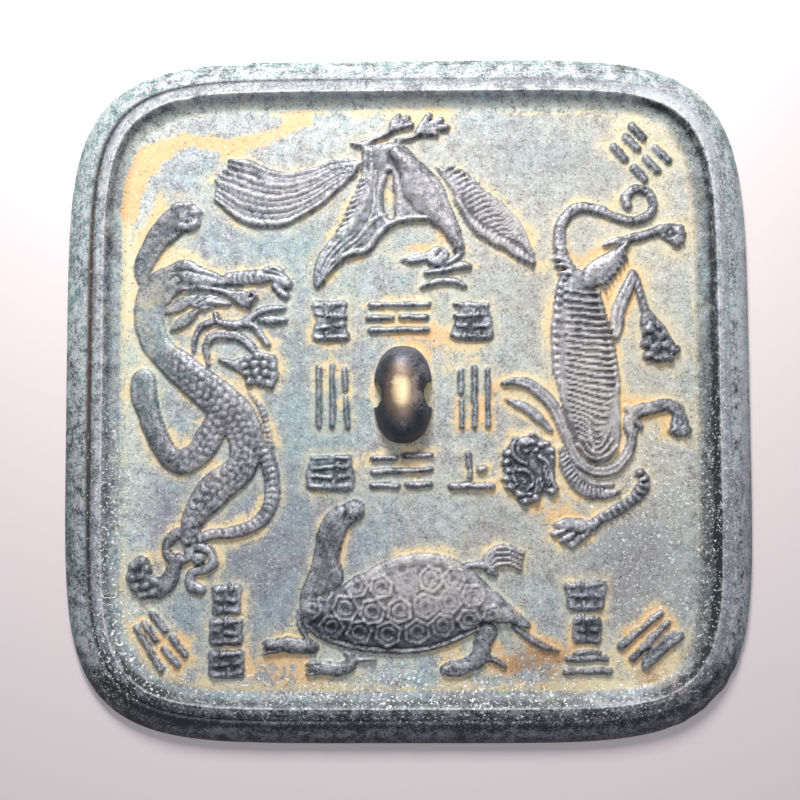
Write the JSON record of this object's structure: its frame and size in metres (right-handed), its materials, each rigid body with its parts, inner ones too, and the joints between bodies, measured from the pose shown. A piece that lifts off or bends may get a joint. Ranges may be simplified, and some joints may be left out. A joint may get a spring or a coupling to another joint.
{
  "type": "ancient bronze mirror",
  "caption": "Square cast bronze mirror with rounded corners, raised rim, pierced centre knob and low relief of four beasts and trigrams on its back.",
  "frame": {"origin": "centre of the plain polished face, which is the underside as the mirror lies", "axes": "+Z out of the decorated back, +Y towards the bird's side, +X towards the tiger's side"},
  "size_m": [0.16, 0.16, 0.0109],
  "materials": {
    "bronze": "old cast bronze with blue-grey and green patina and pale earth in the hollows"
  },
  "bodies": {
    "root": {"mirror": "bronze"}
  },
  "joints": []
}
